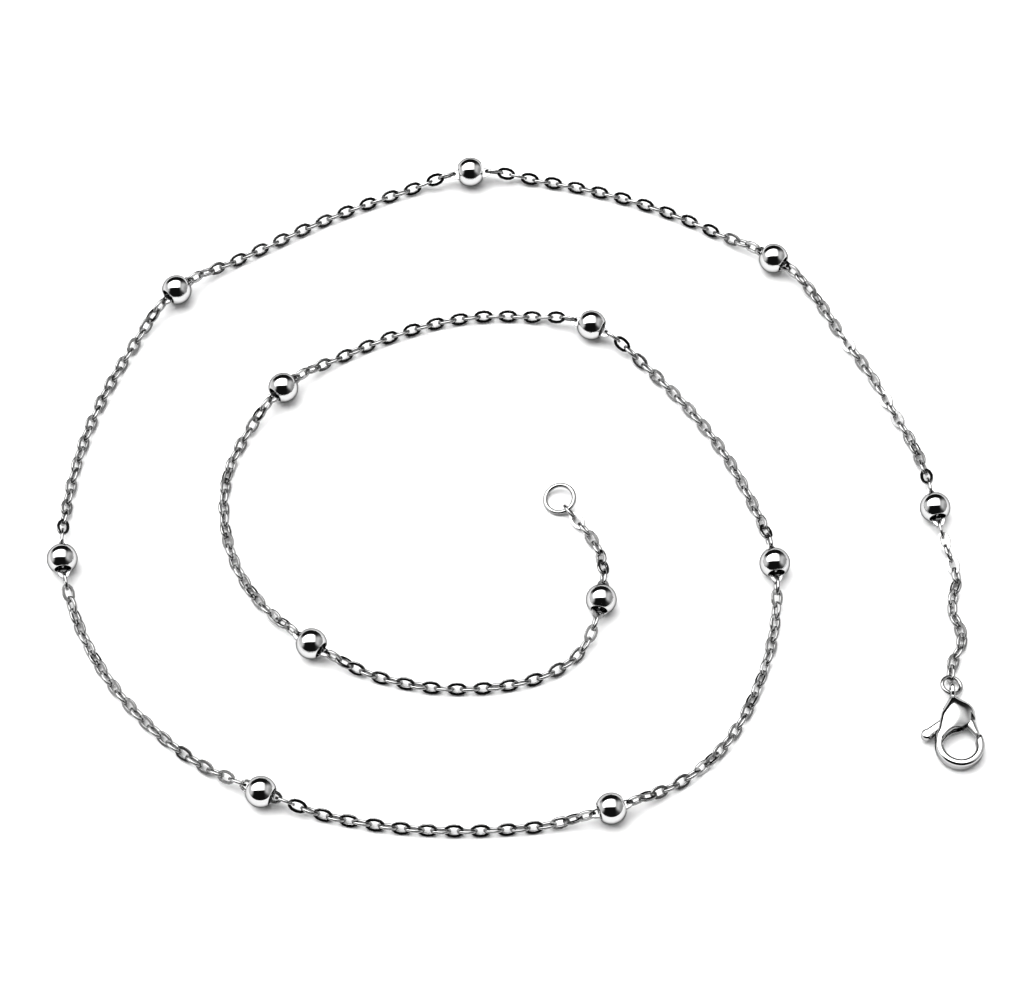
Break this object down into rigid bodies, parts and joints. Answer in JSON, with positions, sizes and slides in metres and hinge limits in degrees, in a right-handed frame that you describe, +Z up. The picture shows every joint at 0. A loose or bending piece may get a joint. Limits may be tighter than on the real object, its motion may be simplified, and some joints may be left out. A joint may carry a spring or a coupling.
{
  "type": "ball chain necklace",
  "caption": "Fine steel cable chain necklace with round drilled beads at even stations, a lobster claw clasp and a plain end ring, lying open in a spiral.",
  "frame": {"origin": "on the table under the middle of the laid-out necklace's outline", "axes": "+Z up from the table, +X across the spiral towards the clasp, +Y away from the viewer"},
  "size_m": [0.1196, 0.1017, 0.004],
  "materials": {
    "chain_steel": "polished stainless steel wire",
    "bead_steel": "mirror polished stainless steel",
    "clasp_steel": "polished cast stainless steel"
  },
  "bodies": {
    "necklace": {"bead_01": "bead_steel", "bead_02": "bead_steel", "bead_03": "bead_steel", "bead_04": "bead_steel", "bead_05": "bead_steel", "bead_06": "bead_steel", "bead_07": "bead_steel", "bead_08": "bead_steel", "bead_09": "bead_steel", "bead_10": "bead_steel", "bead_11": "bead_steel", "bead_12": "bead_steel", "chain_01": "chain_steel", "chain_02": "chain_steel", "chain_03": "chain_steel", "chain_04": "chain_steel", "chain_05": "chain_steel", "chain_06": "chain_steel", "chain_07": "chain_steel", "chain_08": "chain_steel", "chain_09": "chain_steel", "chain_10": "chain_steel", "chain_11": "chain_steel", "chain_12": "chain_steel", "chain_13": "chain_steel", "end_ring": "chain_steel", "clasp_ring": "chain_steel", "clasp_body": "clasp_steel"},
    "lever": {"clasp_lever": "clasp_steel"}
  },
  "joints": [
    {"name": "lever_swing", "type": "hinge", "parent": "necklace", "child": "lever", "pos_m": [0.05693, -0.03389, 0.0012], "axis": [0, 0, -1], "range_deg": [0, 28], "stiffness_Nm_per_rad": 0.003, "springref_deg": -9.74}
  ]
}
